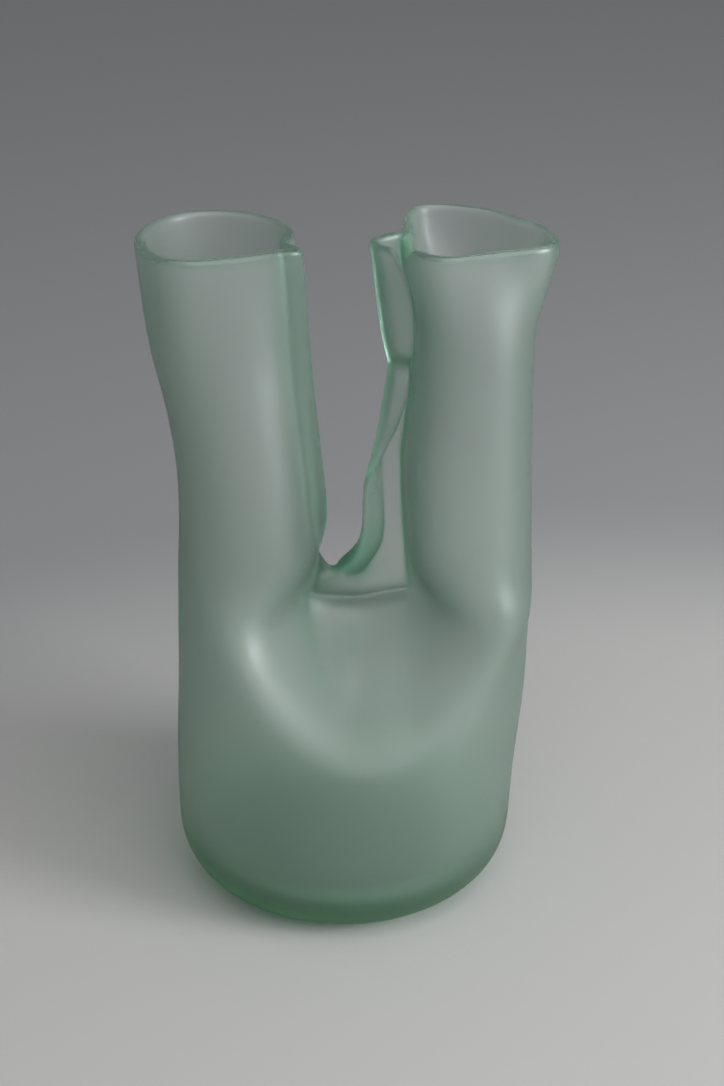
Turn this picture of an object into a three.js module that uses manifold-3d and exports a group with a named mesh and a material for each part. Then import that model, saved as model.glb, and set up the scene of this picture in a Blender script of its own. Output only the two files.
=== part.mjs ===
// Double-neck vase of frosted sea-green glass.
// It was blown as one cylinder, sheared down its front and back while hot, and each half was closed into a neck
// of its own. The cut edges show as seams that face each other across the slot: a neat lap on the left neck, and
// on the right neck a pinched web with a rolled bead on its edge, which folds over to the front higher up.
// Millimetres, +Z up, front towards -Y. The origin is on the standing face, under the middle of the vase.

import * as THREE from 'three';
import { mergeVertices } from 'three/addons/utils/BufferGeometryUtils.js';
import Module from 'manifold-3d';

const wasm = await Module();
wasm.setup();

const { lerp, clamp, smoothstep, degToRad, radToDeg } = THREE.MathUtils;

// Driving dimensions of the blown body.
const rimHeight = 277; // standing face to both mouths
const crotchHeight = 135; // standing face to the foot of the slot
const baseRadius = 69.5;
const baseCorner = 26; // rounding where the side turns under
const baseThickness = 12; // solid glass under the hollow
const bodyWall = 5;
const neckWall = 4.2;
const pontilRadius = 15; // ground hollow in the standing face
const pontilDepth = 1.2;
// The body leans to the right of its foot and swells a little: middle and half width at each height.
const bodyMiddle = [[0, 0], [28, 0], [47, 0.4], [66, 1.5], [85, 2.9], [104, 3.6], [crotchHeight, 4]];
const bodyHalfWidth = [[0, baseRadius], [28, baseRadius], [47, 70], [85, 71], [110, 71], [crotchHeight, 70.5]];

// The front and back are pressed in from a U-shaped shoulder up to the web between the necks.
const valleyX = 12; // middle of the pressed valley
const valleyFoot = 76; // height where the valley starts in the middle
const shoulderRise = 50; // how much higher the shoulder lies at shoulderReach from the valley
const shoulderReach = 60;
const shoulderTop = 116; // highest that the shoulder gets
const webThickness = 9; // front and back wall fused together

// Seams.
const seamGap = 0.3; // between a seam piece and the wall that it is fused to
const lapWidth = 11; // left neck: sheared edge lapped over the other one
const lapThickness = 3.8;
const beadWidth = 8; // right neck: rolled bead on the edge of the web
const beadThickness = 6;
const beadTurns = 0.5;
const beadBend = crotchHeight + 17; // height where the bead turns in under the slot
const flapThickness = 3.8; // right neck: the sheared edge folded over above the bead
const flapFoot = 177; // height where the fold starts
const lipRound = 1.6; // height of the fire-polished rounding on each rim

// How finely round shapes are faceted.
const neckFacets = 40;
const lobeFacets = 11; // of each half of each lobe of the body
const webFacets = 3;
const foldFacets = 12; // of each side of the folded sheet

// A value that runs smoothly through [place, value] pairs.
function through(pairs, place) {
  const last = pairs.length - 1;
  let i = 0;
  while (i < last - 1 && place > pairs[i + 1][0]) i++;
  const [p0, v0] = pairs[i];
  const [p1, v1] = pairs[i + 1];
  const before = pairs[Math.max(i - 1, 0)];
  const after = pairs[Math.min(i + 2, last)];
  const span = p1 - p0;
  const slope0 = ((v1 - before[1]) / (p1 - before[0])) * span;
  const slope1 = ((after[1] - v0) / (after[0] - p0)) * span;
  const t = clamp((place - p0) / span, 0, 1);
  const t2 = t * t;
  const t3 = t2 * t;
  return (2 * t3 - 3 * t2 + 1) * v0 + (t3 - 2 * t2 + t) * slope0
    + (3 * t2 - 2 * t3) * v1 + (t3 - t2) * slope1;
}

// Each neck: rise is the share of the way from the crotch to the rim. The mouth is the radius of the sheared and
// fire-polished rim at angles in degrees, counter-clockwise from +X, and starts at the mouth's sharpest corner.
const leftNeck = {
  x: [[0, -38.3], [0.2, -37.6], [0.35, -38.2], [0.53, -41], [0.7, -44.5], [0.87, -46.5], [1, -48]],
  y: [[0, 0], [1, 0]],
  halfWidth: [[0, 28.1], [0.35, 27.2], [0.53, 27.6], [0.7, 28.9], [1, 30.5]],
  halfDepth: [[0, 40], [0.35, 37.5], [0.7, 33.8], [1, 31.6]],
  mouth: [[-30, 33.5], [0, 31], [25, 31.2], [50, 31.2], [90, 31.8], [120, 32.6], [150, 30.5], [180, 30.6],
    [210, 31.2], [240, 34.2], [270, 30.2], [300, 29.4], [330, 33.5]],
  mouthStart: 0.45, // rise above which the section turns from an oval into the shape of the mouth
};
const rightNeck = {
  x: [[0, 50.9], [0.2, 49.6], [0.35, 48.9], [0.5, 49.9], [0.65, 50.6], [0.87, 51.6], [1, 52.6]],
  y: [[0, 0], [0.5, 0.8], [1, 2]],
  halfWidth: [[0, 24.6], [0.2, 25.2], [0.35, 25.2], [0.5, 24], [0.75, 22.8], [0.87, 23.2], [0.95, 25.6],
    [1, 29]],
  halfDepth: [[0, 39], [0.35, 35.5], [0.7, 33], [1, 33]],
  mouth: [[-20, 32], [0, 28.4], [25, 26.8], [50, 25.6], [80, 31], [103, 37], [118, 43.5], [128, 45], [140, 38],
    [160, 31.6], [175, 30], [190, 30], [215, 33.5], [238, 35.4], [262, 26.8], [300, 24.2], [325, 30], [340, 32]],
  mouthStart: 0.72,
};

const riseAt = (z) => (z - crotchHeight) / (rimHeight - crotchHeight);

function neckPoint(neck, z, angle, outset = 0) {
  const rise = clamp(riseAt(z), 0, 1);
  const halfWidth = through(neck.halfWidth, rise);
  const halfDepth = through(neck.halfDepth, rise);
  const oval = 1 / Math.hypot(Math.cos(angle) / halfWidth, Math.sin(angle) / halfDepth);
  const turn = ((radToDeg(angle) % 360) + 360) % 360;
  const mouth = through(neck.mouth, turn > neck.mouth.at(-1)[0] ? turn - 360 : turn);
  const radius = lerp(oval, mouth, smoothstep(rise, neck.mouthStart, 1)) + outset;
  return new THREE.Vector3(
    through(neck.x, rise) + radius * Math.cos(angle), through(neck.y, rise) + radius * Math.sin(angle), z);
}

function neckRing(neck, z, outset = 0, drawnAt = z) {
  return Array.from({ length: neckFacets }, (_, i) =>
    neckPoint(neck, drawnAt, (i / neckFacets) * 2 * Math.PI, outset).setZ(z));
}

// Rings of points, counter-clockwise and stacked upwards, skinned into a closed geometry. Point 0 and the point
// halfway round are the two ends of a ring, and its ends are capped with rungs across. With loop the last ring
// joins the first.
function skin(rings, loop = false) {
  const size = rings[0].length;
  const faces = [];
  const bands = loop ? rings.length : rings.length - 1;
  for (let j = 0; j < bands; j++) {
    const up = (j + 1) % rings.length;
    for (let i = 0; i < size; i++) {
      const next = (i + 1) % size;
      const [a, b, c, d] = [j * size + i, j * size + next, up * size + next, up * size + i];
      const [p, q, r, s] = [rings[j][i], rings[j][next], rings[up][next], rings[up][i]];
      const longer = p.distanceTo(r) - q.distanceTo(s);
      const mirrored = Math.floor((4 * i) / size) % 2 === 0; // so that left and right are split alike
      const splitAtShort = Math.abs(longer) > 0.05 ? longer > 0 : mirrored;
      faces.push(...(splitAtShort ? [a, b, d, b, c, d] : [a, b, c, a, c, d]));
    }
  }
  const top = (rings.length - 1) * size;
  for (let i = 0; !loop && i < size / 2; i++) {
    const [a, b, c, d] = [i, i + 1, size - i - 1, (size - i) % size];
    if (b !== c) faces.push(b, a, c, top + a, top + b, top + c);
    if (a !== d) faces.push(c, a, d, top + a, top + c, top + d);
  }
  return new THREE.BufferGeometry().setFromPoints(rings.flat()).setIndex(faces);
}

function solidOf(geometry) {
  const bare = geometry.clone();
  bare.deleteAttribute('normal');
  bare.deleteAttribute('uv');
  const merged = mergeVertices(bare, 1e-4);
  return new wasm.Manifold(new wasm.Mesh({
    numProp: 3,
    vertProperties: new Float32Array(merged.attributes.position.array),
    triVerts: new Uint32Array(merged.index.array),
  }));
}

function geometryOf(solid) {
  const mesh = solid.getMesh();
  return new THREE.BufferGeometry()
    .setAttribute('position', new THREE.BufferAttribute(new Float32Array(mesh.vertProperties), 3))
    .setIndex(new THREE.BufferAttribute(new Uint32Array(mesh.triVerts), 1));
}

const steps = (from, to, count) => Array.from({ length: count + 1 }, (_, i) => lerp(from, to, i / count));

// Everything between two heights, to part the glass along level faces.
function slice(low, high) {
  const reach = 4 * baseRadius;
  const block = new THREE.BoxGeometry(reach, reach, high - low);
  return solidOf(block.translate(0, 0, (low + high) / 2));
}

// The body.

// One point of the front half of a body section, as it lies on the round part and at the crotch. Index runs from
// the far left over the left lobe, the web and the right lobe to the far right.
const frontCount = 2 * lobeFacets + webFacets;
const webSpread = degToRad(7); // half the angle of the round part that ends up in the web
const valleyAngle = Math.acos(clamp(valleyX / baseRadius, -1, 1));

function bodyPoint(index, side, z, inset) {
  const lobe = index <= lobeFacets ? leftNeck : rightNeck;
  const halfWidth = through(lobe.halfWidth, 0) - inset;
  const halfDepth = through(lobe.halfDepth, 0) - inset;
  const webDepth = webThickness / 2;
  const meet = Math.asin(webDepth / through(lobe.halfDepth, 0));
  const rightStart = lobeFacets + webFacets;
  const eight = new THREE.Vector2();
  let turn;
  if (index <= lobeFacets) {
    const share = index / lobeFacets;
    const angle = Math.PI - share * (Math.PI - meet);
    eight.set(through(lobe.x, 0) + halfWidth * Math.cos(angle), halfDepth * Math.sin(angle));
    turn = Math.PI - share * (Math.PI - valleyAngle - webSpread);
  } else if (index >= rightStart) {
    const share = (index - rightStart) / lobeFacets;
    const angle = (Math.PI - meet) * (1 - share);
    eight.set(through(lobe.x, 0) + halfWidth * Math.cos(angle), halfDepth * Math.sin(angle));
    turn = (valleyAngle - webSpread) * (1 - share);
  } else {
    const share = (index - lobeFacets) / webFacets;
    const left = through(leftNeck.x, 0) + through(leftNeck.halfWidth, 0) * Math.cos(meet);
    const right = through(rightNeck.x, 0) - through(rightNeck.halfWidth, 0) * Math.cos(meet);
    eight.set(lerp(left, right, share), Math.max(webDepth - inset, 0.5));
    turn = lerp(valleyAngle + webSpread, valleyAngle - webSpread, share);
  }
  const corner = baseCorner - inset;
  const floor = inset ? baseThickness : 0;
  const below = clamp(corner - (z - floor), 0, corner);
  const radius = baseRadius - inset - corner + Math.sqrt(corner ** 2 - below ** 2);
  const wide = radius + through(bodyHalfWidth, z) - baseRadius;
  const round = new THREE.Vector2(through(bodyMiddle, z) + wide * Math.cos(turn), radius * Math.sin(turn));
  const reach = (baseRadius * Math.cos(turn) - valleyX) / shoulderReach;
  const shoulder = Math.min(valleyFoot + shoulderRise * reach ** 2, shoulderTop);
  const drawn = smoothstep(z + inset / 2, shoulder, crotchHeight);
  const { x, y } = round.lerp(eight, drawn);
  return new THREE.Vector3(x, side * y, z);
}

function bodyRing(z, inset = 0) {
  const front = steps(0, frontCount, frontCount).map((i) => bodyPoint(i, -1, z, inset));
  const back = steps(frontCount - 1, 1, frontCount - 2).map((i) => bodyPoint(i, 1, z, inset));
  return [...front, ...back];
}

// Heights that step closely round the lower corner and evenly above it.
function bodyHeights(floor, corner, top) {
  const bend = steps(0, Math.PI / 2, 6).map((a) => floor + corner * (1 - Math.cos(a)));
  return [...bend, ...steps(floor + corner, top, 14).slice(1)];
}

const blown = solidOf(skin(bodyHeights(0, baseCorner, crotchHeight).map((z) => bodyRing(z))));
const hollowTop = crotchHeight - 1.7 * bodyWall; // where the front and back wall meet inside
const hollow = solidOf(skin(
  bodyHeights(baseThickness, baseCorner - bodyWall, hollowTop).map((z) => bodyRing(z, bodyWall))));
const boreFoot = crotchHeight - 6 * bodyWall; // the bores run down into the hollow
const overrun = 1; // past a face that is cut through
const boreTaper = 1; // how much narrower all round the bores start there
const bores = [leftNeck, rightNeck].map((neck) => solidOf(skin([
  neckRing(neck, boreFoot, -neckWall - boreTaper, crotchHeight),
  neckRing(neck, crotchHeight + overrun, -neckWall, crotchHeight),
])));

const body = bores.reduce((cut, bore) => cut.subtract(bore), blown.subtract(hollow))
  .intersect(slice(baseThickness, crotchHeight));

const pontil = solidOf(new THREE.CylinderGeometry(
  pontilRadius - pontilDepth, pontilRadius, pontilDepth * 2, neckFacets).rotateX(Math.PI / 2));
const base = blown.intersect(slice(0, baseThickness)).subtract(pontil);

// A neck: up the outside, over the rounded rim and down the bore.
function neckShell(neck) {
  const half = neckWall / 2;
  const top = rimHeight - lipRound;
  const flare = lerp(crotchHeight, rimHeight, 0.65);
  const heights = [...steps(crotchHeight, flare, 7), ...steps(flare, top, 8).slice(1)];
  const lip = [40, 90, 140].map(degToRad).map((a) =>
    neckRing(neck, top + lipRound * Math.sin(a), -half + half * Math.cos(a), rimHeight));
  return skin([
    ...heights.map((z) => neckRing(neck, z)),
    ...lip,
    ...heights.toReversed().map((z) => neckRing(neck, z, -neckWall)),
  ], true);
}

// A neck as a full solid, to cut what is fused to it.
function neckOutside(neck) {
  return solidOf(skin(steps(crotchHeight - overrun, rimHeight + 4, 16).map((z) =>
    neckRing(neck, z, seamGap, clamp(z, crotchHeight, rimHeight)))));
}
const leftOutside = neckOutside(leftNeck);
const rightOutside = neckOutside(rightNeck);

const sectionFacets = 14;

// A flat oval section with its long side along a direction in the level plane.
function strapRing(centre, width, thickness, direction) {
  return Array.from({ length: sectionFacets }, (_, i) => {
    const angle = (i / sectionFacets) * 2 * Math.PI;
    const along = Math.sign(Math.cos(angle)) * Math.abs(Math.cos(angle)) ** 0.7 * width / 2;
    const across = Math.sign(Math.sin(angle)) * Math.abs(Math.sin(angle)) ** 0.7 * thickness / 2;
    return new THREE.Vector3(
      centre.x + along * Math.cos(direction) - across * Math.sin(direction),
      centre.y + along * Math.sin(direction) + across * Math.cos(direction),
      centre.z);
  });
}

// Left neck: the front wall's sheared edge laps over the back wall's. It stands at the front corner of the mouth
// and wanders round to the middle of the slot at the foot.
const lapAngle = [[0, -8], [0.2, -12], [0.5, -20], [1, -31]]; // where it lies on the neck, in degrees
const lapTilt = [[0, 60], [0.5, 40], [1, 22]]; // the way it points, in degrees
const lapFoot = crotchHeight + 9; // just clear of the bead
const lap = solidOf(skin(steps(lapFoot, rimHeight - lipRound, 16).map((z) => {
  const rise = riseAt(z);
  const tilt = degToRad(through(lapTilt, rise));
  const width = lerp(lapThickness, lapWidth, smoothstep(z, lapFoot, lapFoot + lapWidth));
  const centre = neckPoint(leftNeck, z, degToRad(through(lapAngle, rise)), seamGap);
  centre.x -= (width / 2 - lapThickness) * Math.cos(tilt);
  centre.y -= (width / 2 - lapThickness) * Math.sin(tilt);
  return strapRing(centre, width, lapThickness, tilt);
}))).subtract(leftOutside);

// Right neck: the line of the sheared edge, from the foot of the fold down the web and round under the slot.
const beadPath = new THREE.CatmullRomCurve3([
  [11.2, -2.6, flapFoot + 3],
  [11.1, -2.6, lerp(beadBend, flapFoot, 0.68)],
  [11.3, -2.6, lerp(beadBend, flapFoot, 0.36)],
  [11, -2.5, beadBend],
  [7.5, -2.5, crotchHeight + 8.5],
  [1.5, -2.5, crotchHeight + 4],
  [-5, -2.5, crotchHeight + 2.5],
  [-9, -2.5, crotchHeight + 3],
].map((p) => new THREE.Vector3(...p)));

function beadSkin(outset) {
  const count = 26;
  const rings = steps(1, 0, count).map((t) => {
    const middle = beadPath.getPointAt(t);
    const ahead = beadPath.getTangentAt(t).negate();
    const across = new THREE.Vector3(0, 1, 0).cross(ahead).normalize();
    const deep = ahead.clone().cross(across);
    const turn = (1 - t) * beadTurns * Math.PI;
    return Array.from({ length: sectionFacets }, (_, i) => {
      const angle = (i / sectionFacets) * 2 * Math.PI;
      const wide = (beadWidth / 2 + outset) * Math.cos(angle);
      const thick = (beadThickness / 2 + outset) * Math.sin(angle);
      return middle.clone()
        .addScaledVector(across, wide * Math.cos(turn) - thick * Math.sin(turn))
        .addScaledVector(deep, wide * Math.sin(turn) + thick * Math.cos(turn));
    });
  });
  return skin(rings);
}
const bead = solidOf(beadSkin(0)).intersect(slice(crotchHeight, flapFoot))
  .subtract(rightOutside).subtract(leftOutside);

// The web: front and back wall pinched flat between the bead and the right neck.
const webEdge = [[crotchHeight, -6], [crotchHeight + 4, 1.5], [crotchHeight + 8.5, 7.5],
  [beadBend, 11.3], [lerp(beadBend, flapFoot, 0.6), 11.3], [flapFoot, 11]];
const webSlab = skin(steps(crotchHeight, flapFoot, 12).map((z) => {
  const left = through(webEdge, z);
  const right = neckPoint(rightNeck, z, Math.PI).x + neckWall;
  const thickness = lerp(webThickness, flapThickness, smoothstep(z, crotchHeight, lerp(beadBend, flapFoot, 0.2)));
  return strapRing(new THREE.Vector3((left + right) / 2, 0, z), right - left, thickness, 0);
}));
const web = solidOf(webSlab).subtract(solidOf(beadSkin(seamGap))).subtract(rightOutside);

// The flap: above the web the sheared edge folds over to the front and reaches the neck again. It is pinched once,
// and stands open towards the rim. Plan of the folded sheet at each height, from its root to its free edge.
const foldLines = [
  [flapFoot, [25.5, 0], [21, 0], [17, -0.2], [13.8, -0.9], [10.8, -2]],
  [flapFoot + 6, [25.5, 0], [20.8, 0.1], [16.3, -0.2], [13.2, -1.5], [11.2, -3.9]],
  [flapFoot + 10, [25.6, 0], [20.5, 0.3], [15.6, -0.2], [12.8, -2.4], [12, -5.2]],
  [flapFoot + 14, [25.8, 0.2], [20.2, 0.5], [14.9, -0.3], [12.7, -3.3], [14, -6.4]],
  [flapFoot + 19, [26.5, 0.5], [20.7, 0.8], [15, -0.5], [13.8, -4.3], [17, -7.1]],
  [flapFoot + 26, [27.4, 0.8], [21.4, 1.1], [15.8, -0.6], [15.9, -4.9], [20.2, -7.5]],
  [flapFoot + 35, [28.4, 1.1], [22.1, 1.3], [16.4, -0.6], [17.8, -5.4], [22.6, -8.4]],
  [flapFoot + 50, [29.6, 0.8], [23.6, 0.9], [17.8, -1.8], [20.4, -5.6], [24.6, -8]],
  [flapFoot + 68, [30.6, 3.2], [21.4, 1.9], [14.2, -2.4], [18.4, -9], [25.2, -12.8]],
  [flapFoot + 81, [30.4, 5], [20.8, 1.8], [12.8, -3.4], [16.6, -10], [23.6, -13.8]],
  [rimHeight, [28, 7], [18.6, 0.4], [10.8, -4.8], [12.8, -10.8], [17.2, -14.8]],
];
function flapRing(z) {
  const value = (point, axis) => through(foldLines.map((row) => [row[0], row[point][axis]]), z);
  const line = new THREE.SplineCurve([1, 2, 3, 4, 5].map((point) =>
    new THREE.Vector2(value(point, 0), value(point, 1))));
  const side = (share, way) => {
    const t = (1 - Math.cos(Math.PI * share)) / 2; // closer steps round the edges
    const out = line.getTangent(t);
    const round = Math.sqrt(1 - (2 * t - 1) ** 6); // the edges are rounded by the flame
    return line.getPoint(t).addScaledVector(new THREE.Vector2(out.y, -out.x), way * round * flapThickness / 2);
  };
  const plan = [
    ...steps(0, 1, foldFacets).map((share) => side(share, 1)),
    ...steps(1, 0, foldFacets).slice(1, -1).map((share) => side(share, -1)),
  ];
  return plan.map((p) => new THREE.Vector3(p.x, p.y, z));
}
const flapHeights = [
  ...steps(flapFoot, flapFoot + 28, 10), ...steps(flapFoot + 28, rimHeight - lipRound, 14).slice(1)];
const flap = solidOf(skin(flapHeights.map(flapRing))).subtract(rightOutside);

// The vase.
const seaGlass = new THREE.MeshStandardMaterial({ color: 0x9db8ab, roughness: 0.55, metalness: 0 });
const thickGlass = new THREE.MeshStandardMaterial({ color: 0x4f8a6e, roughness: 0.5, metalness: 0 });
const seamGlass = new THREE.MeshStandardMaterial({ color: 0x7fae97, roughness: 0.2, metalness: 0 });

const vase = new THREE.Group();
vase.name = 'double_neck_vase';
function add(name, geometry, material) {
  const mesh = new THREE.Mesh(geometry, material);
  mesh.name = name;
  vase.add(mesh);
}
add('thick_base', geometryOf(base), thickGlass);
add('blown_body', geometryOf(body), seaGlass);
add('left_neck', neckShell(leftNeck), seaGlass);
add('right_neck', neckShell(rightNeck), seaGlass);
add('left_seam_lap', geometryOf(lap), seamGlass);
add('right_seam_web', geometryOf(web), seaGlass);
add('right_seam_bead', geometryOf(bead), seamGlass);
add('right_seam_flap', geometryOf(flap), seamGlass);

// Sets the origin under the middle of the whole vase.
const extent = new THREE.Box3().setFromObject(vase);
const middle = extent.getCenter(new THREE.Vector3());
vase.position.set(-middle.x, -middle.y, 0);

export default vase;
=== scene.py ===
"""Double-neck vase of frosted sea-green glass, standing on a pale floor."""

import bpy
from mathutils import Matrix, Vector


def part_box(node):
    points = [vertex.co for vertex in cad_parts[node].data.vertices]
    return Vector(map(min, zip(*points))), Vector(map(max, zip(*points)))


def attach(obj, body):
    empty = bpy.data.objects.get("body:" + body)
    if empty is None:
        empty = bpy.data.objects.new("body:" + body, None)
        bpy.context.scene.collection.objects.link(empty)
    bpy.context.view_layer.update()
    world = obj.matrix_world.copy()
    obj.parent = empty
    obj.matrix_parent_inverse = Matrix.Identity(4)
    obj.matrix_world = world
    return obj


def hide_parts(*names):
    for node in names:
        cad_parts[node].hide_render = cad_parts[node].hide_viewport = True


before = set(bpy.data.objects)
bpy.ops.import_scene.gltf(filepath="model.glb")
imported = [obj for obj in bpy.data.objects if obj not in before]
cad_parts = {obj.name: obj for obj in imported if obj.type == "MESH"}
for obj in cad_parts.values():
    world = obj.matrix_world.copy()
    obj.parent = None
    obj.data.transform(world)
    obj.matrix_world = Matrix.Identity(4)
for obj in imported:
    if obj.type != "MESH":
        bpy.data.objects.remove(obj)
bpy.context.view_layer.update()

from math import asin, cos, degrees, exp, hypot, pi, radians, sin

import bmesh
import bpy
from mathutils import Matrix, Vector

scene = bpy.context.scene
scene.view_settings.view_transform = "Standard"

# Camera. A long lens a little under a metre away looks down at the vase, as the photographer did, so both
# mouths are seen from above while the foot keeps its round front edge.
LENS = 76.2
FRAME_LONG_SIDE = 36.0
CAMERA_SPOT = (0.0054, -0.8248, 0.5525)
LOOK_DOWN = radians(26.12)
camera_data = bpy.data.cameras.new("camera")
camera_data.lens = LENS
camera_data.sensor_fit = "AUTO"
camera_data.sensor_width = FRAME_LONG_SIDE
camera = bpy.data.objects.new("camera", camera_data)
camera.location = CAMERA_SPOT
camera.rotation_euler = (pi / 2 - LOOK_DOWN, 0, 0)
scene.collection.objects.link(camera)
scene.camera = camera

# Floor. A wide round sheet of matt painted board under the vase, palest round the vase and greyer further
# off, so that the glass has a plain pale ground in front of it and a plain darker one behind it.
FLOOR_RADIUS = 6.0
PALE_MIDDLE = (0.1, -0.25)
PALE_WITHIN, GREY_BEYOND = 0.42, 0.62
PALE_PAINT = (0.475, 0.464, 0.45, 1)
GREY_PAINT = (0.325, 0.32, 0.322, 1)
GRAINS_PER_METRE = 260.0
GRAIN_HEIGHT = 0.0004
floor_mesh = bmesh.new()
bmesh.ops.create_circle(floor_mesh, cap_ends=True, radius=FLOOR_RADIUS, segments=96)
floor_data = bpy.data.meshes.new("studio_floor")
floor_mesh.to_mesh(floor_data)
floor_mesh.free()
studio_floor = bpy.data.objects.new("studio_floor", floor_data)
scene.collection.objects.link(studio_floor)

board = bpy.data.materials.new("matt_board")
board.use_nodes = True
tree = board.node_tree
shader = tree.nodes["Principled BSDF"]
shader.inputs["Roughness"].default_value = 0.85
shader.inputs["Specular IOR Level"].default_value = 0.2
place = tree.nodes.new("ShaderNodeTexCoord")
offset = tree.nodes.new("ShaderNodeVectorMath")
offset.operation = "SUBTRACT"
offset.inputs[1].default_value = (*PALE_MIDDLE, 0)
tree.links.new(place.outputs["Object"], offset.inputs[0])
reach = tree.nodes.new("ShaderNodeVectorMath")
reach.operation = "LENGTH"
tree.links.new(offset.outputs["Vector"], reach.inputs[0])
far = tree.nodes.new("ShaderNodeMapRange")
far.interpolation_type = "SMOOTHSTEP"
far.inputs["From Min"].default_value = PALE_WITHIN
far.inputs["From Max"].default_value = GREY_BEYOND
tree.links.new(reach.outputs["Value"], far.inputs["Value"])
paint = tree.nodes.new("ShaderNodeMix")
paint.data_type = "RGBA"
paint.inputs["A"].default_value = PALE_PAINT
paint.inputs["B"].default_value = GREY_PAINT
tree.links.new(far.outputs["Result"], paint.inputs["Factor"])
tree.links.new(paint.outputs["Result"], shader.inputs["Base Color"])
grain = tree.nodes.new("ShaderNodeTexNoise")
grain.inputs["Scale"].default_value = GRAINS_PER_METRE
grain.inputs["Detail"].default_value = 3.0
tree.links.new(place.outputs["Object"], grain.inputs["Vector"])
orange_peel = tree.nodes.new("ShaderNodeBump")
orange_peel.inputs["Strength"].default_value = 0.25
orange_peel.inputs["Distance"].default_value = GRAIN_HEIGHT
tree.links.new(grain.outputs["Fac"], orange_peel.inputs["Height"])
tree.links.new(orange_peel.outputs["Normal"], shader.inputs["Normal"])
floor_data.materials.append(board)

# Light. A soft window low at the right draws the highlight down the right shoulder, and a soft light high at
# the front lights the crest of the bowl. A faint window at the left and an even pale room fill the rest.
def soft_light(name, power, size, spot, target, colour=(1, 1, 1)):
    lamp = bpy.data.lights.new(name, "AREA")
    lamp.shape = "RECTANGLE"
    lamp.energy = power
    lamp.size, lamp.size_y = size
    lamp.color = colour
    stand = bpy.data.objects.new(name, lamp)
    stand.location = spot
    stand.rotation_euler = (Vector(target) - Vector(spot)).to_track_quat("-Z", "Y").to_euler()
    stand.visible_camera = False
    scene.collection.objects.link(stand)

soft_light("window_right", 17.0, (0.6, 0.7), (1.3, -0.58, 0.58), (0, 0, 0.1), (0.94, 0.98, 1.0))
soft_light("window_left", 0.5, (0.9, 1.2), (-1.3, -0.6, 1.0), (0, 0, 0.14))
soft_light("top_light", 9.8, (1.5, 1.1), (0.4, -0.7, 1.0), (0, 0, 0.1))
world = bpy.data.worlds.new("room")
world.use_nodes = True
room = world.node_tree.nodes["Background"]
room.inputs["Color"].default_value = (0.93, 0.96, 1.0, 1)
room.inputs["Strength"].default_value = 0.345
scene.world = world

# The vase. One piece of blown glass: a round body on a thick foot, sheared down its front and back while
# hot, with each half closed into a neck. The sheared edges stay as a lap on the left neck, and on the right
# one as a pinched web with a beaded edge, which folds over to the front higher up and ends in an open flap.
#
# All sizes of the glass are in millimetres about the middle of the foot, and turned to metres at the end.
RIM = 277.0
CROTCH = 135.0
FOOT_RADIUS = 69.4
FOOT_CORNER = 26.0
FOOT_THICKNESS = 12.0
BODY_WALL = 5.0
NECK_WALL = 4.2
PONTIL_RADIUS = 15.0
PONTIL_DEPTH = 1.2
VALLEY_X = 12.0
VALLEY_FOOT = 66.0
SHOULDER_RISE_LEFT = 32.0
SHOULDER_RISE_RIGHT = 46.0
SHOULDER_REACH = 60.0
SHOULDER_TOP = 116.0
SHOULDER_OVER_WEB = 0.3
LIP_ROUND = 1.6
LIP_INSET = 1.1
THINNEST_HALF = 0.6

BODY_MIDDLE = ((0, 0), (28, 0), (47, 0.4), (66, 1.5), (85, 2.9), (104, 3.6), (135, 4))
BODY_HALF_WIDTH = ((0, 69.4), (28, 69.4), (47, 70), (85, 71), (110, 71), (135, 70.5))

# Values that run smoothly through (place, value) pairs.
def through(pairs, place):
    last = len(pairs) - 1
    i = 0
    while i < last - 1 and place > pairs[i + 1][0]:
        i += 1
    (p0, v0), (p1, v1) = pairs[i], pairs[i + 1]
    before, after = pairs[max(i - 1, 0)], pairs[min(i + 2, last)]
    span = p1 - p0
    slope0 = (v1 - before[1]) / (p1 - before[0]) * span
    slope1 = (after[1] - v0) / (after[0] - p0) * span
    t = min(max((place - p0) / span, 0), 1)
    t2, t3 = t * t, t * t * t
    start_part = (2 * t3 - 3 * t2 + 1) * v0 + (t3 - 2 * t2 + t) * slope0
    return start_part + (3 * t2 - 2 * t3) * v1 + (t3 - t2) * slope1

def ease(value, start, end):
    t = min(max((value - start) / (end - start), 0), 1)
    return t * t * (3 - 2 * t)

def mix(a, b, t):
    return a + (b - a) * t

def up_the_neck(z):
    return min(max((z - CROTCH) / (RIM - CROTCH), 0), 1)

# One measure of a drawn section at a height between its rows.
def drawn(rows, station, axis, z):
    return through([(row[0], row[1 + station][axis]) for row in rows], z)

def is_outside(outset):
    return outset > -BODY_WALL / 2

# How far the glass is pressed in on its way from the shoulder to the web: round crest, slope and hollow.
PRESS = ((0, 0), (0.2, 0.055), (0.4, 0.24), (0.58, 0.54), (0.73, 0.81), (0.84, 0.94), (0.92, 0.985), (1, 1))

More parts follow.
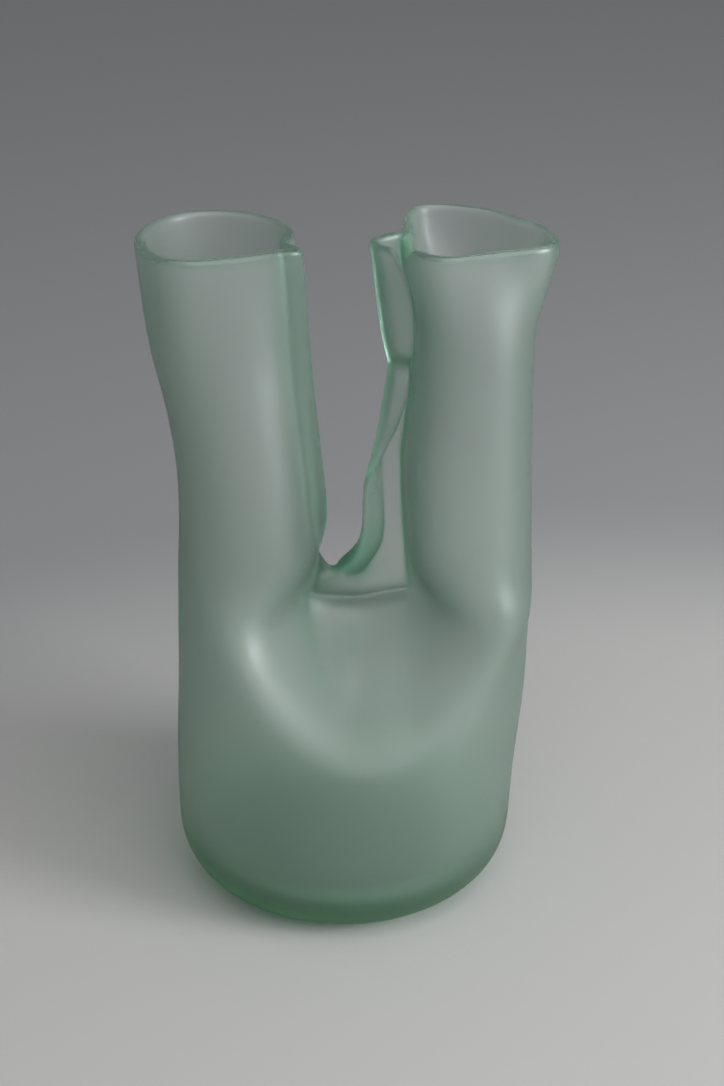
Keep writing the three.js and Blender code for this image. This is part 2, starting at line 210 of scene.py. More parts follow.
# Both necks: a leaning oval whose section runs, towards the rim, into the mouth's own outline. That is a
# radius at each angle in degrees from the right, round by the back.
LEFT_NECK = {
    "x": ((0, -38.3), (0.2, -37.6), (0.35, -38.2), (0.53, -41), (0.7, -44.5), (0.87, -46.5), (1, -48)),
    "y": ((0, 0), (1, 0)),
    "half_width": ((0, 28.1), (0.35, 27.2), (0.53, 27.6), (0.7, 28.9), (1, 30.5)),
    "half_depth": ((0, 40), (0.35, 37.5), (0.7, 33.8), (1, 31.6)),
    "mouth": ((-30, 33.5), (0, 31), (25, 31.2), (50, 31.2), (90, 31.8), (120, 32.6), (150, 30.5), (180, 30.5),
              (210, 31.2), (240, 34.2), (270, 30.2), (300, 29.4), (330, 33.5)),
    "mouth_start": 0.45,
    "crest_out": -9,
    "squareness": 2.12,
}
RIGHT_NECK = {
    "x": ((0, 50.9), (0.2, 49.6), (0.35, 48.9), (0.5, 49.9), (0.65, 50.6), (0.87, 51.6), (1, 52.6)),
    "y": ((0, 0), (0.5, 0.8), (1, 2)),
    "half_width": ((0, 24.6), (0.2, 25.2), (0.35, 25.2), (0.5, 24), (0.75, 22.8), (0.87, 23.2), (0.95, 25.6),
                   (1, 29)),
    "half_depth": ((0, 39), (0.35, 35.5), (0.7, 33), (1, 33)),
    "mouth": ((-20, 32), (0, 28.4), (25, 26.8), (50, 25.6), (80, 31), (103, 37), (118, 43.5), (128, 45),
              (140, 38), (160, 31.6), (175, 30), (190, 30), (215, 33.5), (238, 35.4), (262, 26.8),
              (300, 24.2), (325, 30), (340, 32)),
    "mouth_start": 0.72,
    "crest_out": 9,
    "squareness": 2.25,
}

MOUTH_TO = 340

def neck_point(neck, z, angle, outset=0.0, drawn_at=None):
    share = up_the_neck(z if drawn_at is None else drawn_at)
    half_width, half_depth = through(neck["half_width"], share), through(neck["half_depth"], share)
    power = neck["squareness"]
    oval = (abs(cos(angle) / half_width) ** power + abs(sin(angle) / half_depth) ** power) ** (-1 / power)
    turn = degrees(angle) % 360
    mouth = through(neck["mouth"], turn - 360 if turn > MOUTH_TO else turn)
    radius = mix(oval, mouth, ease(share, neck["mouth_start"], 1)) + outset
    x, y = through(neck["x"], share), through(neck["y"], share)
    return Vector((x + radius * cos(angle), y + radius * sin(angle), z))

# Columns of the glass run from the foot to the rims: 0 to FRONT over the front, from the far left over the
# left lobe, the web and the right lobe to the far right, and the same numbers below zero over the back. The
# rungs that fuse front to back beside the slot have codes of their own.
LOBE = 11
WEB = 7
LEFT_ROOT = LOBE
RIGHT_ROOT = LOBE + WEB
FRONT = 2 * LOBE + WEB
RING = list(range(FRONT + 1)) + [-i for i in range(FRONT - 1, 0, -1)]
SLOT_CUTS = 3
CODE_STEP = 100
LEFT_CUT, TIP_CUT, ROOT_CUT = CODE_STEP, 2 * CODE_STEP, 3 * CODE_STEP

def on_rung(column, code):
    return code <= column < code + CODE_STEP

# How far a cut of a rung lies from its front end to its back end.
def across(column):
    return column % CODE_STEP / (SLOT_CUTS + 1)

# The sheared seam of the right neck at each height: in plan, the middle of its glass and half its
# thickness, from the root on the neck to the sheared edge. It is a beaded web low down, and from 185 up it
# folds over to the front.
SEAM = (
    (135, (27, 0, 4.6), (21.5, 0, 3.6), (16, 0, 3), (11.5, 0, 2.8), (7.5, 0, 2.9), (4, 0, 3.4), (0.5, 0, 4)),
    (140, (26, 0, 3.8), (21.5, 0, 3.2), (17, 0, 2.8), (12.2, -0.2, 2.5),
     (8.8, -0.6, 2), (7.2, -2, 4), (2.8, -2.4, 4.5)),
    (145, (25.2, 0, 3.2), (22, 0, 2.8), (18.8, 0, 2.5), (15, -0.2, 2.2),
     (12, -0.5, 1.7), (11.2, -2.4, 3.7), (6.9, -2.9, 4.3)),
    (151, (24.8, 0, 2.8), (22.2, 0, 2.5), (19.7, 0, 2.3), (17, -0.1, 2),
     (14.7, -0.5, 1.5), (13.9, -2.6, 3.6), (10.3, -3.1, 4.2)),
    (160, (24.4, 0, 2.6), (22, 0, 2.3), (19.6, 0, 2.1), (17.2, -0.1, 1.9),
     (15, -0.5, 1.4), (14.2, -2.6, 3.5), (11.3, -3, 4)),
    (168, (24.2, 0, 2.6), (21.7, 0, 2.2), (19.3, 0, 2.1), (16.9, -0.1, 1.8),
     (14.8, -0.5, 1.5), (13.9, -2.6, 3.1), (11, -3, 3.8)),
    (177, (24, 0, 2.6), (21.3, 0, 2.2), (18.7, 0, 2), (16.2, -0.1, 1.8),
     (14.2, -0.8, 1.8), (13, -2.4, 2.8), (11, -3.4, 3.3)),
    (184, (23.8, 0, 2.6), (21.2, 0.1, 2.2), (18.6, 0, 2.1), (15.9, -0.3, 2.1),
     (13.6, -1.4, 2.2), (12.4, -3.2, 2.4), (12, -5, 2.6)),
    (191, (24.2, 0, 2.6), (20.8, 0.4, 2.2), (17.4, 0.4, 2.1), (14.4, -0.6, 2.1),
     (12.9, -3.4, 2.2), (13.8, -4.8, 2.2), (14.6, -6.2, 2.1)),
    (198, (25, 0.4, 2.6), (21.4, 0.9, 2.2), (17.8, 0.7, 2.1), (15, -0.7, 2.1),
     (14.9, -4, 2.1), (16.6, -5.6, 2), (18.2, -7.2, 1.9)),
    (205, (25.7, 0.7, 2.5), (22, 1.1, 2.2), (18.4, 0.8, 2.1), (15.7, -0.8, 2),
     (16.4, -4.8, 2), (18.6, -6.3, 1.9), (20.8, -7.9, 1.8)),
    (213, (26.2, 1, 2.3), (22.6, 1.3, 2.1), (19.2, 0.9, 2), (16.7, -0.9, 2),
     (18, -5.2, 1.9), (20.6, -6.8, 1.8), (23.2, -8.4, 1.7)),
    (221, (26.6, 1, 2.1), (23.2, 1.1, 1.9), (20, 0.6, 1.9), (17.6, -1.4, 1.9),
     (19.6, -5.4, 1.7), (22.1, -6.8, 1.6), (24.6, -8.2, 1.5)),
    (227, (26.8, 0.5, 1.9), (23.6, 0.6, 1.6), (20.4, 0.2, 1.5), (17.8, -1.4, 1.6),
     (19.6, -3.6, 1.3), (22, -4.4, 1.2), (24.6, -5.2, 1.2)),
    (232, (26.8, 1.5, 1.9), (23, 1.3, 1.8), (19.4, 0.6, 1.8), (16.6, -2.2, 1.9),
     (19.8, -7.2, 1.7), (22.6, -8.7, 1.6), (25.4, -10.2, 1.5)),
    (245, (26.5, 3, 1.9), (22, 2.3, 1.9), (17.4, 1, 1.9), (14.2, -2.8, 2),
     (18.6, -9, 1.8), (22.2, -10.7, 1.6), (25.8, -12.4, 1.5)),
    (258, (26.1, 4.2, 1.9), (21, 2.7, 1.9), (16, 0.5, 1.9), (12.8, -3.8, 2.1),
     (17, -10, 1.9), (20.8, -11.7, 1.7), (24.6, -13.4, 1.5)),
    (268, (25.6, 4.8, 1.9), (20.2, 2.6, 1.8), (15, -0.2, 1.9), (11.8, -4.6, 2.2),
     (14.9, -10.6, 2), (18.1, -12.3, 1.8), (21.4, -14, 1.6)),
    (277, (25, 5.4, 1.9), (19.4, 2, 1.8), (14, -1.4, 1.9), (10.8, -5.6, 2.2),
     (12.8, -11, 2.1), (15.1, -12.8, 1.9), (17.4, -14.6, 1.7)),
)

def seam_point(column, z, outset, drawn_at):
    station = WEB - 1 if column >= TIP_CUT else RIGHT_ROOT - abs(column)
    near = [Vector([drawn(SEAM, k, axis, drawn_at) for axis in (0, 1, 2)])
            for k in (station - 1, station, min(station + 1, WEB - 1))]
    half = max(near[1].z + outset, THINNEST_HALF)
    ahead = (near[2] - near[0]).to_2d().normalized()
    front = Vector((-ahead.y, ahead.x))
    turn = across(column) * pi if column >= TIP_CUT else 0 if column > 0 else pi
    flat = near[1].to_2d() + (front * cos(turn) + ahead * sin(turn)) * half
    return Vector((flat.x, flat.y, z))

# The slot side of the left neck at each height, in plan: the corner of the front wall, which is lapped over
# the back wall's end, its sheared edge, the notch behind that edge, and two points of the back wall.
LAP = (
    (135, (-7.4, -4.8), (-6.2, -2.6), (-5.6, 0), (-6.2, 2.6), (-7.4, 4.8)),
    (137, (-8.6, -5.2), (-7.4, -2.8), (-6.8, 0), (-7.4, 2.8), (-8.6, 5)),
    (140, (-10.2, -6), (-9.4, -3), (-9, 0), (-9.2, 3), (-10, 5.4)),
    (144, (-11, -8), (-10.3, -4.4), (-10.2, -0.8), (-10.4, 2.6), (-11.4, 6)),
    (150, (-9.6, -11.6), (-8.9, -7), (-9.2, -3), (-9.8, 1.4), (-11.6, 6)),
    (163, (-6.4, -14.8), (-5.8, -10.6), (-8.2, -6.6), (-9.4, -1.4), (-11.8, 5)),
    (172, (-6.4, -15.6), (-5.8, -11.6), (-8.6, -7.6), (-9.6, -2.6), (-11.8, 5)),
    (197, (-8.6, -16.6), (-8, -12.2), (-11.2, -8.2), (-11.6, -3.2), (-13.4, 5)),
    (222, (-11, -17.4), (-10.4, -12.8), (-13.8, -8.6), (-13.8, -3.4), (-15.2, 5)),
    (247, (-12.8, -18), (-12.2, -13.2), (-15.8, -8.8), (-15.6, -3.4), (-16.8, 5)),
    (266, (-13.7, -18), (-13.2, -13.2), (-17.6, -9.2), (-16.8, -3.6), (-17.4, 4.6)),
    (277, (-13.8, -17.8), (-14, -13.4), (-20.4, -11.6), (-17.4, -5.6), (-17.4, 3.6)),
)

# Low down each half of the wall sinks from its crest to the web in one smooth slope, and the crest stands
# further out than the neck's own middle. The necks' round inner sides only form about the slot's foot.
SIDES_FORM_FROM, SIDES_FORMED_AT = CROTCH - 18, CROTCH + 16

def slope_to_web(neck, z, angle, root, outset, drawn_at):
    formed = ease(z, SIDES_FORM_FROM, SIDES_FORMED_AT)
    point = neck_point(neck, z, angle, outset, drawn_at)
    if formed == 1:
        return point
    if cos(angle) * cos(root) <= 0:
        soft = point + Vector((neck["crest_out"] * (1 - abs(cos(angle))), 0, 0))
    else:
        depth = through(neck["half_depth"], up_the_neck(drawn_at))
        edge = neck_point(neck, z, root, 0, drawn_at)
        share = min((pi / 2 - asin(abs(sin(angle)))) / (pi / 2 - asin(abs(sin(root)))), 1)
        high = mix(abs(edge.y), depth, 0.5 + 0.5 * cos(pi * share))
        soft = Vector((mix(through(neck["x"], 0) + neck["crest_out"], edge.x, share),
                       (-1 if sin(angle) < 0 else 1) * max(high + outset, THINNEST_HALF), z))
    return soft.lerp(point, formed)

# The left neck's skin. Outside, its slot side follows the lap. Its bore has a plain round wall there, which
# starts as a narrow strip over the saddle, widens to the lap's own width, and keeps clear of the notch
# behind the sheared edge.
STRIP_HALF_ANGLE = 0.11
BORE_FROM_ANGLE, BORE_TO_ANGLE = radians(-30), radians(8)
BORE_WIDENED_AT = CROTCH + 30
NOTCH_CLEARANCE = 3

def left_point(column, z, outset, drawn_at):
    share = across(column) if column >= LEFT_CUT else 0 if column > 0 else 1
    if abs(column) < LEFT_ROOT:
        corner = drawn(LAP, 0 if column > 0 else 4, 1, drawn_at)
        root = asin(corner / through(LEFT_NECK["half_depth"], up_the_neck(drawn_at)))
        angle = mix(-pi if column >= 0 else pi, root, abs(column) / LOBE)
        return slope_to_web(LEFT_NECK, z, angle, root, outset, drawn_at)
    if is_outside(outset):
        station = round(share * (SLOT_CUTS + 1))
        return Vector((drawn(LAP, station, 0, drawn_at) + outset, drawn(LAP, station, 1, drawn_at), z))
    widened = ease(drawn_at, CROTCH, BORE_WIDENED_AT)
    front = mix(-STRIP_HALF_ANGLE, BORE_FROM_ANGLE, widened)
    back = mix(STRIP_HALF_ANGLE, BORE_TO_ANGLE, widened)
    clearance = NOTCH_CLEARANCE * widened * sin(pi * share)
    return neck_point(LEFT_NECK, z, mix(front, back, share), outset - clearance, drawn_at)

# The right neck's skin, which is open towards the slot by a little more than the web's own thickness.
ROOT_FILLET = 0.6

def right_point(column, z, outset, drawn_at):
    root_y = drawn(SEAM, 0, 1, drawn_at) - through(RIGHT_NECK["y"], up_the_neck(drawn_at))
    half = drawn(SEAM, 0, 2, drawn_at) + ROOT_FILLET
    reach = through(RIGHT_NECK["half_depth"], up_the_neck(drawn_at))
    front_root = pi + asin((half - root_y) / reach)
    back_root = pi - asin((half + root_y) / reach)
    if column >= ROOT_CUT:
        return neck_point(RIGHT_NECK, z, mix(front_root, back_root, across(column)), outset, drawn_at)
    root = front_root if column >= 0 else back_root
    angle = mix(2 * pi if column >= 0 else 0, root, (FRONT - abs(column)) / LOBE)
    return slope_to_web(RIGHT_NECK, z, angle, root, outset, drawn_at)

# The web runs out lowest in its middle. Where the right neck leaves the body, the wall swells a little, and
# the tool that pinched the web left a small ridge and a hollow beside it: height, middle and half width of
# each, in X and Z.
WEB_DROP, WEB_TIP_X, WEB_TIP_WIDTH = 7.0, 6.0, 18.0
SWELL = 2.6
SWELL_TURN, SWELL_HALF_TURN = radians(28), 0.3
SWELL_Z, SWELL_HALF_HEIGHT = 131.0, 14.0
PINCH_RIDGE = (9.0, 2.6, 109.0, 2.4, 5.5)
PINCH_HOLLOW = (-3.0, 7.5, 104.0, 3.5, 6.0)

def mound(offset, half_width):
    return exp(-(offset / half_width) ** 2)

def web_drop(along):
    return WEB_DROP * mound(along - WEB_TIP_X, WEB_TIP_WIDTH)

def pinch_marks(x, z):
    return sum(size * mound(x - at_x, wide) * mound(z - at_z, high)
               for size, at_x, at_z, wide, high in (PINCH_RIDGE, PINCH_HOLLOW))

# Where a column stands: its share of the way from its neck's far side to the web, and its turn.
WEB_SPREAD = radians(10)

def place_of(index):
    valley = pi / 2 - asin(VALLEY_X / FOOT_RADIUS)
    if index < LEFT_ROOT:
        return index / LOBE, pi - index / LOBE * (pi - valley - WEB_SPREAD)
    if index > RIGHT_ROOT:
        return (FRONT - index) / LOBE, (FRONT - index) / LOBE * (valley - WEB_SPREAD)
    return 1, mix(valley + WEB_SPREAD, valley - WEB_SPREAD, (index - LEFT_ROOT) / WEB)

# Any point of the outer or inner skin. Below the U-shaped shoulder a ring is round, and from there it is
# drawn in to the section of the necks and the web, first in the middle and last at the far sides. The saddle
# between the sheared edges is crowned, and the right mouth's wall dips where it opens into the fold.
RIM_DIP = 11.0
RIM_DIP_FROM = RIM - 2.2 * RIM_DIP
CROWN = 3.0
CROWN_FADES_AT = CROTCH + 20
LOBES_CLOSED = 24.0

def skin_point(column, z, radius, outset, crotch=CROTCH):
    index, drawn_at = abs(column), max(z, CROTCH)
    if index <= LEFT_ROOT or on_rung(column, LEFT_CUT):
        pinched = left_point(column, z, outset, drawn_at)
    elif index >= RIGHT_ROOT and not on_rung(column, TIP_CUT):
        pinched = right_point(column, z, outset, drawn_at)
    else:
        pinched = seam_point(column, z, outset, drawn_at)
    if column == RIGHT_ROOT + 1:
        pinched.z -= RIM_DIP * ease(z, RIM_DIP_FROM, RIM)
    if column >= LEFT_CUT:
        if column < ROOT_CUT and is_outside(outset):
            pinched.z += CROWN * (1 - ease(z, CROTCH, CROWN_FADES_AT)) * sin(pi * across(column))
        return pinched
    lobe, turn = place_of(index)
    along = FOOT_RADIUS * cos(turn)
    reach = (along - VALLEY_X) / SHOULDER_REACH
    rise = SHOULDER_RISE_LEFT if reach < 0 else SHOULDER_RISE_RIGHT
    drop = web_drop(along)
    shoulder = min(VALLEY_FOOT + rise * reach ** 2 + SHOULDER_OVER_WEB * drop, SHOULDER_TOP) + outset / 2
    closed = crotch + LOBES_CLOSED * (1 - lobe ** 2) - drop
    wider = through(BODY_HALF_WIDTH, z) - FOOT_RADIUS if radius > FOOT_RADIUS / 2 else 0
    round_part = Vector((through(BODY_MIDDLE, z) + (radius + wider) * cos(turn),
                         (-1 if column >= 0 else 1) * radius * sin(turn), z))
    point = round_part.lerp(pinched, through(PRESS, min(max((z - shoulder) / (closed - shoulder), 0), 1)))
    swell = SWELL * mound(turn - SWELL_TURN, SWELL_HALF_TURN) * mound(z - SWELL_Z, SWELL_HALF_HEIGHT)
    point += Vector((cos(turn), -sin(turn) if column >= 0 else sin(turn), 0)) * swell
    if column > 0 and is_outside(outset):
        point.y -= pinch_marks(point.x, z)
    return point

# Drawing up the skins: rings of glass rise from a pole under the foot, and from one on the floor inside, to
# the rims. Front and back are fused where the slot starts, and from there each neck is a loop of its own.
glass = bmesh.new()
column_of = glass.verts.layers.int.new("column")
outside = glass.verts.layers.int.new("outside")
polished = glass.verts.layers.float.new("polished")
gathered_and_shade = glass.verts.layers.float.new("gathered_and_shade")
NEARLY = 0.01

def start_pole(place):
    made = bmesh.ops.create_circle(glass, cap_ends=True, radius=1, segments=len(RING))["verts"]
    for vert, column in zip(made, RING):
        vert[column_of] = column
        vert.co = place(column)
    return [edge for edge in glass.edges if edge.is_boundary and edge.verts[0] in made]

def draw_up(edges, place):
    made = bmesh.ops.extrude_edge_only(glass, edges=edges)["geom"]
    verts = {part for part in made if isinstance(part, bmesh.types.BMVert)}
    for vert in verts:
        vert.co = place(vert[column_of])
    return [part for part in made if isinstance(part, bmesh.types.BMEdge) and set(part.verts) <= verts]

def by_columns(edges):
    return {frozenset(vert[column_of] for vert in edge.verts): edge for edge in edges}

def close_front_to_back(loop, i):
    pair = [loop[frozenset((i, i + 1))], loop[frozenset((-i, -i - 1))]]
    return bmesh.ops.contextual_create(glass, geom=pair)["faces"]

def fuse(edges, first, last, codes, place):
    """Fuses front and back from one column to another, and cuts the rungs between them finer."""
    loop = by_columns(edges)
    rungs = []
    for i in range(first, last):
        for face in close_front_to_back(loop, i):
            rungs += [edge for edge in face.edges
                      if edge.verts[0][column_of] == -edge.verts[1][column_of] and edge not in rungs]
    ends = [vert for edge in rungs for vert in edge.verts]
    row_x = {i: next(vert.co.x for vert in ends if abs(vert[column_of]) == i) for i in codes}
    cut_up = bmesh.ops.subdivide_edges(glass, edges=rungs, cuts=SLOT_CUTS, use_grid_fill=True)["geom_inner"]
    fresh = {part for part in cut_up if isinstance(part, bmesh.types.BMVert)}
    for i, code in codes.items():
        row = [vert for vert in fresh if abs(vert.co.x - row_x[i]) < NEARLY]
        for cut, vert in enumerate(sorted(row, key=lambda vert: vert.co.y), 1):
            vert[column_of] = code + cut
            vert.co = place(code + cut)

def loop_between(low, high, keep):
    return [edge for edge in glass.edges if edge.is_boundary
            and all(low - NEARLY < vert.co.z < high and keep(vert[column_of]) for vert in edge.verts)]

def on_left(column):
    return abs(column) <= LEFT_ROOT or on_rung(column, LEFT_CUT)

def on_right(column):
    return LEFT_ROOT < abs(column) <= FRONT or column >= TIP_CUT

# Outside: ground hollow, flat ring, rounded corner, round wall, pressed valley. Each ring is a height and a
# radius, which the hollow has as a share of its own.
HOLLOW_RINGS = ((PONTIL_DEPTH, 0.45), (PONTIL_DEPTH, 0.85), (0.15, 1), (0, 1.15))
FLAT_RING = 30
CORNER_STEPS = 6
WALL_HEIGHTS = (36, 48, 59, 67, 73, 78, 83, 88, 93, 98, 103, 108, 113, 118, 123, 127, 131, CROTCH)
NECK_HEIGHTS = (137, 140, 144, 149, 155, 163, 171, 178, 184, 188, 193, 199, 206, 213, 219, 223, 226, 228.5,
                232, 239, 248, 258, 267, 272.5)
flat_radius = FOOT_RADIUS - FOOT_CORNER

def corner_rings(floor, size):
    turns = [step / CORNER_STEPS * pi / 2 for step in range(CORNER_STEPS + 1)]
    return [(floor + size * (1 - cos(turn)), flat_radius + size * sin(turn)) for turn in turns]

rings = [(z, PONTIL_RADIUS * share) for z, share in HOLLOW_RINGS] + [(0, FLAT_RING)]
rings += corner_rings(0, FOOT_CORNER) + [(z, FOOT_RADIUS) for z in WALL_HEIGHTS]
z, radius = rings[0]
body = start_pole(lambda column: skin_point(column, z, radius, 0))
for z, radius in rings[1:]:
    body = draw_up(body, lambda column: skin_point(column, z, radius, 0))
fuse(body, LEFT_ROOT, LEFT_ROOT + 1, {LEFT_ROOT: LEFT_CUT, LEFT_ROOT + 1: TIP_CUT},
     lambda column: skin_point(column, CROTCH, FOOT_RADIUS, 0))
necks = [loop_between(CROTCH, CROTCH + CROWN + 1, side) for side in (on_left, on_right)]
for z in NECK_HEIGHTS + (RIM - LIP_ROUND,):
    necks = [draw_up(neck, lambda column: skin_point(column, z, FOOT_RADIUS, 0)) for neck in necks]
necks = [draw_up(neck, lambda column: skin_point(column, RIM, FOOT_RADIUS, -LIP_INSET)) for neck in necks]

# The top of the folded flap is closed across its thickness, and leaves the round mouth of the right neck.
flap = by_columns(necks[1])
for i in range(LEFT_ROOT + 1, RIGHT_ROOT):
    close_front_to_back(flap, i)
tip = [edge for ends, edge in flap.items()
       if all(on_rung(column, TIP_CUT) or abs(column) == LEFT_ROOT + 1 for column in ends)]
bmesh.ops.contextual_create(glass, geom=tip)
root = next(edge for edge in glass.edges if edge.is_boundary
            and {vert[column_of] for vert in edge.verts} == {RIGHT_ROOT, -RIGHT_ROOT})
cut_up = bmesh.ops.subdivide_edges(glass, edges=[root], cuts=SLOT_CUTS)["geom_inner"]
row = {part for part in cut_up if isinstance(part, bmesh.types.BMVert)}
for cut, vert in enumerate(sorted(row, key=lambda vert: vert.co.y), 1):
    vert[column_of] = ROOT_CUT + cut
    vert.co = skin_point(ROOT_CUT + cut, RIM, FOOT_RADIUS, -LIP_INSET)
outer_rims = [loop_between(RIM - RIM_DIP - 1, RIM + 1, side) for side in (on_left, on_right)]
for vert in glass.verts:
    vert[outside] = 1

# Inside: the floor over the thick foot, the wall, the underside of the web, and both bores. The wall grows
# thinner up the necks, and where the web runs out lower the rings of the inside sink with it.
INNER_CROTCH = 131.5
INNER_FLOOR = [(FOOT_THICKNESS - 0.6, 14), (FOOT_THICKNESS - 0.3, 30), (FOOT_THICKNESS, 38)]
INNER_HEIGHTS = (46, 58, 66, 72, 78, 84, 90, 96, 102, 108, 114, 120, 126, INNER_CROTCH)
INNER_NECK_START = 134
WALL_THINNED_AT = 155
WEB_SINKS_FROM, WEB_LEVEL_AT = 62, 152
inner_radius = FOOT_RADIUS - BODY_WALL

def inside(column, z, radius, wall):
    index = LEFT_ROOT if on_rung(column, LEFT_CUT) else RIGHT_ROOT if column >= ROOT_CUT else abs(column)
    drop = web_drop(FOOT_RADIUS * cos(place_of(index)[1]))
    sinking = ease(z, WEB_SINKS_FROM, INNER_CROTCH) - ease(z, INNER_CROTCH, WEB_LEVEL_AT)
    return skin_point(column, z - drop * sinking, radius, -wall, INNER_CROTCH)

inner_rings = INNER_FLOOR + corner_rings(FOOT_THICKNESS, FOOT_CORNER - BODY_WALL)[1:]
inner_rings += [(z, inner_radius) for z in INNER_HEIGHTS]
z, radius = inner_rings[0]
body = start_pole(lambda column: inside(column, z, radius, BODY_WALL))
for z, radius in inner_rings[1:]:
    body = draw_up(body, lambda column: inside(column, z, radius, BODY_WALL))
fuse(body, LEFT_ROOT, RIGHT_ROOT, {LEFT_ROOT: LEFT_CUT, RIGHT_ROOT: ROOT_CUT},
     lambda column: inside(column, INNER_CROTCH, inner_radius, BODY_WALL))
necks = [loop_between(INNER_CROTCH - WEB_DROP, INNER_CROTCH + 1, side) for side in (on_left, on_right)]
for z in (INNER_NECK_START,) + NECK_HEIGHTS + (RIM - LIP_ROUND,):
    wall = mix(BODY_WALL, NECK_WALL, ease(z, INNER_CROTCH, WALL_THINNED_AT))
    necks = [draw_up(neck, lambda column: inside(column, z, inner_radius, wall)) for neck in necks]
wall = NECK_WALL - LIP_INSET
necks = [draw_up(neck, lambda column: inside(column, RIM, inner_radius, wall)) for neck in necks]
for outer_rim, inner_rim in zip(outer_rims, map(by_columns, necks)):
    for ends, edge in by_columns(outer_rim).items():
        bmesh.ops.contextual_create(glass, geom=[edge, inner_rim[ends]])
bmesh.ops.recalc_face_normals(glass, faces=glass.faces)
for face in glass.faces:
    face.smooth = True

# Each vertex keeps two shares: how far it was fire-polished, and how thickly the glass is gathered there,
# which makes it greener. Gathered are the foot, the bead, the curl at the slot's foot, the fold's edge, the
# wall of the right mouth beside the fold, and the rims. The same green at the fold's pinch is painted shade.
BEAD_COLUMNS = 3
BEAD_TO, BEAD_FADES_FROM, BEAD_FADED_AT = 225, 142, 165
FOLD_FROM = 188
FOLD_EDGE = (RIGHT_ROOT - 3, 3 - RIGHT_ROOT, 4 - RIGHT_ROOT)
# The fold's pinch is darkened with painted shade in the gathered green.
FOLD_PINCH, FOLD_PINCH_HALF = 228, 4
MOUTH_WALL_FROM = RIM - 30
CURL_X, CURL_HALF_X = 6, 6.5
CURL_Z, CURL_HALF_Z = 138.5, 5
FOOT_DEEP_TO, FOOT_FADED_AT = 4, 40
FOOT_GREEN, BEAD_FADE, FOLD_GREEN, FOLD_EDGE_GREEN, PINCH_PAINTED_SHADE = 0.7, 0.5, 0.05, 0.55, 0.8
MOUTH_WALL_GREEN, RIM_GREEN = 0.7, 0.4
INSIDE_GLOSS, FOLD_GLOSS, SEAM_GLOSS, RIM_GLOSS = 0.1, 0.3, 0.6, 0.8

def on_edge(column):
    return on_rung(column, TIP_CUT) or LEFT_ROOT < abs(column) <= LEFT_ROOT + BEAD_COLUMNS

def on_fold(column, z):
    return z > FOLD_FROM and (on_rung(column, TIP_CUT) or LEFT_ROOT < abs(column) < RIGHT_ROOT - 1)

def seam_green_and_shade(column, z):
    if abs(column - RIGHT_ROOT) <= 1 and z > MOUTH_WALL_FROM:
        return MOUTH_WALL_GREEN
    if on_fold(column, z):
        flat_green = FOLD_EDGE_GREEN if column in FOLD_EDGE else FOLD_GREEN
        # Painted shade: the fold's pinch is darkened to the gathered green.
        return max(flat_green, PINCH_PAINTED_SHADE * mound(z - FOLD_PINCH, FOLD_PINCH_HALF))
    if on_edge(column) and z < BEAD_TO:
        return ease(z, CROTCH - 2, CROTCH + 2) * (1 - BEAD_FADE * ease(z, BEAD_FADES_FROM, BEAD_FADED_AT))
    return 0

def gloss_of(column, z):
    if on_fold(column, z):
        return FOLD_GLOSS
    return SEAM_GLOSS * ease(z, CROTCH, CROTCH + 8) if on_edge(column) else RIM_GLOSS * ease(z, RIM - 5, RIM)

for vert in glass.verts:
    column, (x, y, z) = vert[column_of], vert.co
    foot = (1 - ease(z, FOOT_DEEP_TO, FOOT_FADED_AT)) * min(hypot(x, y) / flat_radius, 1)
    if vert[outside]:
        curl = mound(x - CURL_X, CURL_HALF_X) * mound(z - CURL_Z, CURL_HALF_Z) if y < 0 else 0
        rim = RIM_GREEN * ease(z, RIM - 4, RIM)
        vert[gathered_and_shade] = max(FOOT_GREEN * foot, seam_green_and_shade(column, z), curl, rim)
        vert[polished] = gloss_of(column, z)
    else:
        vert[gathered_and_shade], vert[polished] = foot, INSIDE_GLOSS

# Into metres, with the foot where the CAD has it.
foot_low, foot_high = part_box("thick_base")
stand = Matrix.Translation(((foot_low.x + foot_high.x) / 2, 0, 0)) @ Matrix.Scale(0.001, 4)
bmesh.ops.transform(glass, matrix=stand, verts=glass.verts)
vase_data = bpy.data.meshes.new("vase")
glass.to_mesh(vase_data)
glass.free()
vase = bpy.data.objects.new("vase", vase_data)
scene.collection.objects.link(vase)
soften = vase.modifiers.new("soften", "SUBSURF")
soften.levels = soften.render_levels = 2

# Satin glass: etched all over, so that it blurs what is behind it, and green where light runs a long way
# through it. The sheared edges and rims were softened in the flame and are glossier, and gathered glass is
# greener. The dark green at the fold's pinch is painted shade, mixed in with the same tint.
CLEAR_TINT = (0.985, 0.975, 0.975, 1)
GATHERED_AND_SHADE_TINT = (0.4, 0.7, 0.54, 1)
SATIN_ROUGHNESS, POLISHED_ROUGHNESS, UNEVEN_ETCH = 0.42, 0.2, 0.035
ETCH_PATCHES, WAVES, SEEDS = 55.0, 38.0, 42.0
WAVE_HEIGHT, PIT_DEPTH = 0.0008, 0.0004
DEPTH_COLOUR, DEPTH_DENSITY = (0.07, 0.875, 0.5, 1), 27.0
satin_glass = bpy.data.materials.new("satin_glass")
satin_glass.use_nodes = True
tree = satin_glass.node_tree
shader = tree.nodes["Principled BSDF"]
shader.distribution = "GGX"
shader.inputs["Transmission Weight"].default_value = 0.95
shader.inputs["IOR"].default_value = 1.5
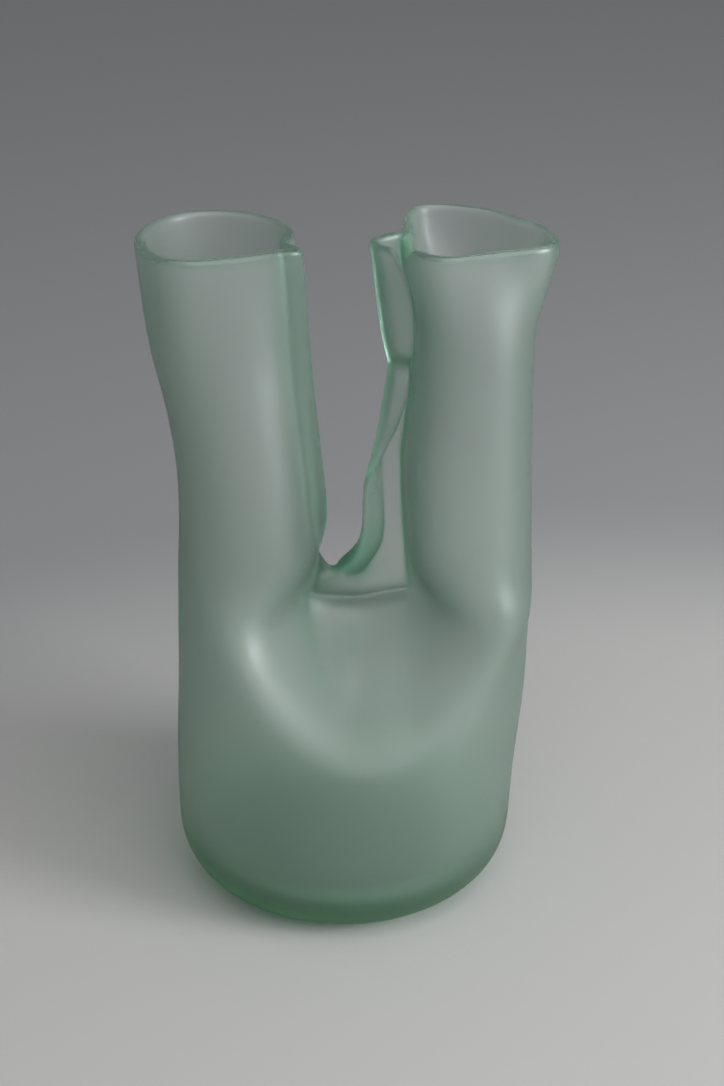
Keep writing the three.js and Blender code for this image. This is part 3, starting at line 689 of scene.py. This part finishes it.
# This share is greener gathered glass, and painted shade at the fold's pinch.
gathered_and_shade_share = tree.nodes.new("ShaderNodeAttribute")
gathered_and_shade_share.attribute_name = "gathered_and_shade"
tint = tree.nodes.new("ShaderNodeMix")
tint.data_type = "RGBA"
tint.inputs["A"].default_value = CLEAR_TINT
tint.inputs["B"].default_value = GATHERED_AND_SHADE_TINT
tree.links.new(gathered_and_shade_share.outputs["Fac"], tint.inputs["Factor"])
tree.links.new(tint.outputs["Result"], shader.inputs["Base Color"])
gloss = tree.nodes.new("ShaderNodeAttribute")
gloss.attribute_name = "polished"
satin = tree.nodes.new("ShaderNodeMapRange")
satin.inputs["To Min"].default_value = SATIN_ROUGHNESS
satin.inputs["To Max"].default_value = POLISHED_ROUGHNESS
tree.links.new(gloss.outputs["Fac"], satin.inputs["Value"])
place = tree.nodes.new("ShaderNodeTexCoord")
etched = tree.nodes.new("ShaderNodeTexNoise")
etched.inputs["Scale"].default_value = ETCH_PATCHES
etched.inputs["Detail"].default_value = 5.0
tree.links.new(place.outputs["Object"], etched.inputs["Vector"])
uneven = tree.nodes.new("ShaderNodeMapRange")
uneven.inputs["From Min"].default_value = 0.3
uneven.inputs["From Max"].default_value = 0.7
uneven.inputs["To Min"].default_value = -UNEVEN_ETCH
uneven.inputs["To Max"].default_value = UNEVEN_ETCH
tree.links.new(etched.outputs["Fac"], uneven.inputs["Value"])
etch = tree.nodes.new("ShaderNodeMath")
etch.operation = "ADD"
tree.links.new(satin.outputs["Result"], etch.inputs[0])
tree.links.new(uneven.outputs["Result"], etch.inputs[1])
tree.links.new(etch.outputs["Value"], shader.inputs["Roughness"])

# Small waves from the blowing, and a few pits and seeds that a fingernail would find.
waves = tree.nodes.new("ShaderNodeTexNoise")
waves.inputs["Scale"].default_value = WAVES
waves.inputs["Detail"].default_value = 2.0
tree.links.new(place.outputs["Object"], waves.inputs["Vector"])
wavy = tree.nodes.new("ShaderNodeBump")
wavy.inputs["Strength"].default_value = 0.2
wavy.inputs["Distance"].default_value = WAVE_HEIGHT
tree.links.new(waves.outputs["Fac"], wavy.inputs["Height"])
seeds = tree.nodes.new("ShaderNodeTexVoronoi")
seeds.inputs["Scale"].default_value = SEEDS
tree.links.new(place.outputs["Object"], seeds.inputs["Vector"])
pits = tree.nodes.new("ShaderNodeMapRange")
pits.inputs["From Min"].default_value = 0.012
pits.inputs["From Max"].default_value = 0.03
tree.links.new(seeds.outputs["Distance"], pits.inputs["Value"])
pitted = tree.nodes.new("ShaderNodeBump")
pitted.inputs["Strength"].default_value = 0.35
pitted.inputs["Distance"].default_value = PIT_DEPTH
tree.links.new(pits.outputs["Result"], pitted.inputs["Height"])
tree.links.new(wavy.outputs["Normal"], pitted.inputs["Normal"])
tree.links.new(pitted.outputs["Normal"], shader.inputs["Normal"])
depth = tree.nodes.new("ShaderNodeVolumeAbsorption")
depth.inputs["Color"].default_value = DEPTH_COLOUR
depth.inputs["Density"].default_value = DEPTH_DENSITY
tree.links.new(depth.outputs["Volume"], tree.nodes["Material Output"].inputs["Volume"])
vase_data.materials.append(satin_glass)
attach(vase, "root")
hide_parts("thick_base", "blown_body", "left_neck", "right_neck", "left_seam_lap", "right_seam_web",
            "right_seam_bead", "right_seam_flap")
